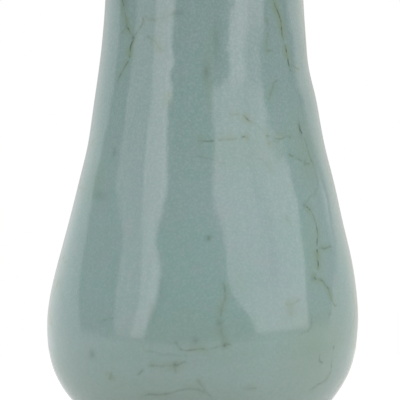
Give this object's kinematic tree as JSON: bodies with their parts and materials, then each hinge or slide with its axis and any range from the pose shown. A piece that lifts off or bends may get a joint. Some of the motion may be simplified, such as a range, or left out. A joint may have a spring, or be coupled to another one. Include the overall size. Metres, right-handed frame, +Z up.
{
  "type": "vase",
  "caption": "Pear-shaped celadon flower vase with a wide neck, flared lip, crackled glaze over thrown stoneware, and a bare foot ring that it stands on.",
  "frame": {"origin": "centre of the circle that the foot ring rests on, on the table's surface", "axes": "+Z up along the axis that the vase was thrown round; -Y towards the picture's viewer; +X to that viewer's right"},
  "size_m": [0.15, 0.15, 0.2449],
  "materials": {
    "celadon_glaze": "glossy, crackled",
    "stoneware": "unglazed, fired",
    "luting_slip": "unglazed, fired",
    "bare_foot": "unglazed, turned, iron-flashed"
  },
  "bodies": {
    "root": {"foot_ring": "bare_foot", "foot_slip": "luting_slip", "lower_body": "stoneware", "upper_body": "stoneware", "neck": "stoneware", "belly_slip": "luting_slip", "neck_slip": "luting_slip", "outer_glaze": "celadon_glaze", "inner_glaze": "celadon_glaze", "well_glaze": "celadon_glaze"}
  },
  "joints": []
}
